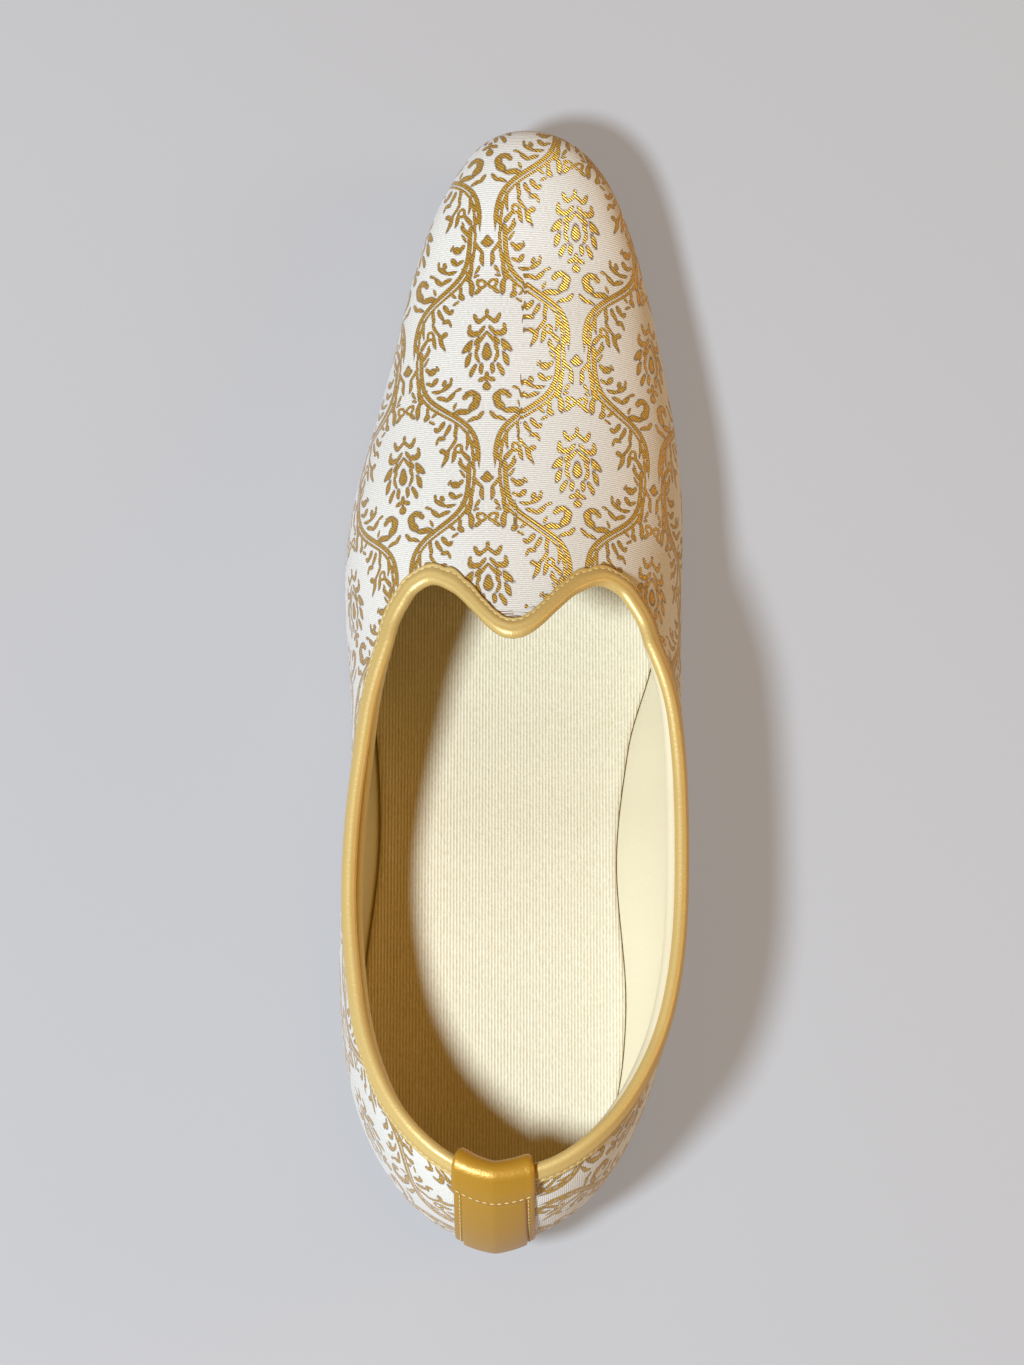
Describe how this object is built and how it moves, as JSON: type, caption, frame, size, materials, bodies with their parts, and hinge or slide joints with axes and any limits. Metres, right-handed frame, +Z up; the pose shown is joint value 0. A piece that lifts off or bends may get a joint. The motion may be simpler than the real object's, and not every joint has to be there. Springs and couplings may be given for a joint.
{
  "type": "mojari slip-on shoe",
  "caption": "Left slip-on of ogee brocade with a rolled metallic collar binding, double-scalloped throat, heel strip, ribbed insole, thin sole and low heel.",
  "frame": {"origin": "on the floor, at the centre of the shoe's length and width", "axes": "+Y to the toe, +X to the inner side of the foot, +Z up"},
  "size_m": [0.0868, 0.2915, 0.0633],
  "materials": {
    "upper_brocade": "ivory satin-weave brocade with raised gilt thread, smooth cream lining inside",
    "gilt_binding": "metallic pale-gold coated leather, softly glossy, stitched along its edge",
    "gilt_strip": "metallic gold coated leather, softly glossy, stitched on both flanges",
    "ribbed_insole": "beige ribbed textile, matt",
    "sole_rubber": "dark brown moulded rubber, matt",
    "heel_rubber": "dark brown moulded rubber, matt"
  },
  "bodies": {
    "root": {"upper": "upper_brocade", "collar_binding": "gilt_binding", "heel_strip": "gilt_strip", "insole": "ribbed_insole", "outsole": "sole_rubber", "heel_block": "heel_rubber"}
  },
  "joints": []
}
